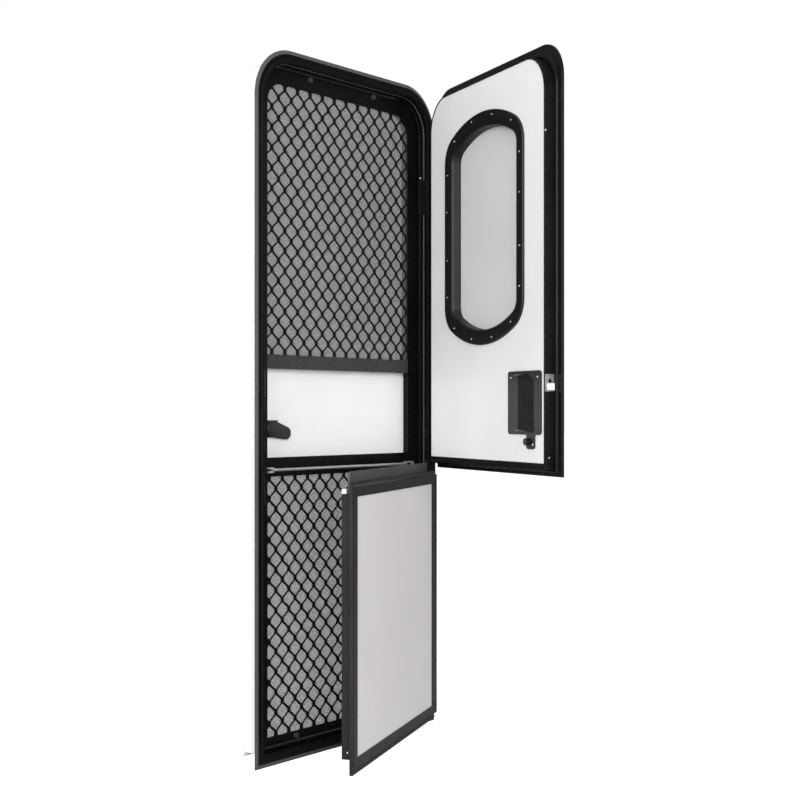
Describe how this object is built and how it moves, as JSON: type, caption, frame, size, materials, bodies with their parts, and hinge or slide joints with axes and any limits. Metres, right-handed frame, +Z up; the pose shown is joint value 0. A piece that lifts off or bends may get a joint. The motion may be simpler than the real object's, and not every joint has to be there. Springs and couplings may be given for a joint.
{
  "type": "caravan entry door",
  "caption": "Stable-type caravan entry door: black flanged frame with a windowed upper leaf, a plain lower leaf and an inner diamond-grille screen door.",
  "frame": {"origin": "middle of the sill flange's back face, where the frame lies on the vehicle's outer wall", "axes": "+X to the right seen from outside, +Y into the vehicle, +Z up"},
  "size_m": [0.66, 0.6437, 1.622],
  "materials": {
    "frame_black": "satin powder coat",
    "leaf_black": "satin powder coat",
    "screen_black": "satin powder coat",
    "grille_black": "satin powder coat",
    "panel_white": "smooth sheet",
    "core_foam": "foam",
    "trim_plastic": "moulded",
    "window_glass": "frosted acrylic",
    "lock_plastic": "moulded",
    "bright_steel": "bright",
    "bolt_white": "moulded",
    "flap_rubber": "smooth",
    "bumper_rubber": "moulded",
    "insect_mesh": "woven fibreglass mesh"
  },
  "bodies": {
    "frame": {"frame_hoop": "frame_black", "frame_sill": "frame_black", "frame_hinge_strip": "frame_black", "strike_plates": "bright_steel", "jamb_plate": "frame_black", "screen_hinge_frame_leaves": "frame_black"},
    "upper_leaf": {"upper_edge_hoop": "leaf_black", "upper_bottom_rail": "leaf_black", "upper_hinge_strip": "frame_black", "upper_outer_skin": "panel_white", "upper_core": "core_foam", "upper_inner_skin": "panel_white", "window_inner_trim": "trim_plastic", "window_pane": "window_glass", "window_outer_frame": "trim_plastic", "lock_plate": "lock_plastic", "lock_paddle": "lock_plastic", "lock_snib": "lock_plastic", "edge_latch": "bright_steel", "outside_handle": "lock_plastic"},
    "lower_leaf": {"lower_bottom_rail": "leaf_black", "lower_top_rail": "leaf_black", "lower_free_stile": "leaf_black", "lower_hinge_stile": "leaf_black", "lower_hinge_strip": "frame_black", "lower_outer_skin": "panel_white", "lower_core": "core_foam", "lower_inner_skin": "panel_white", "weather_flap": "flap_rubber", "lower_bolt": "bolt_white"},
    "screen_door": {"screen_hoop": "screen_black", "screen_bottom_rail": "screen_black", "screen_mid_rail": "screen_black", "screen_lock_rail": "screen_black", "upper_grille": "grille_black", "lower_grille": "grille_black", "upper_insect_mesh": "insect_mesh", "lower_insect_mesh": "insect_mesh", "screen_hatch": "panel_white", "push_bar": "bright_steel", "screen_bumpers": "bumper_rubber", "screen_lock_case": "lock_plastic", "screen_hinge_door_leaves": "frame_black"},
    "lever": {"screen_lever": "lock_plastic"}
  },
  "joints": [
    {"name": "upper_leaf_hinge", "type": "hinge", "parent": "frame", "child": "upper_leaf", "pos_m": [0.3205, -0.0105, 1.1205], "axis": [0, 0, 1], "range_deg": [-63, 107], "deforming": ["weather_flap"]},
    {"name": "lower_leaf_hinge", "type": "hinge", "parent": "frame", "child": "lower_leaf", "pos_m": [0.3205, -0.0105, 0.3205], "axis": [0, 0, 1], "range_deg": [-20.4, 149.6]},
    {"name": "screen_hinge", "type": "hinge", "parent": "frame", "child": "screen_door", "pos_m": [0.301, 0.062, 0.8205], "axis": [0, 0, -1], "range_deg": [0, 100]},
    {"name": "screen_lever_turn", "type": "hinge", "parent": "screen_door", "child": "lever", "pos_m": [-0.226, 0.043, 0.7485], "axis": [0, -1, 0], "range_deg": [0, 45]}
  ]
}
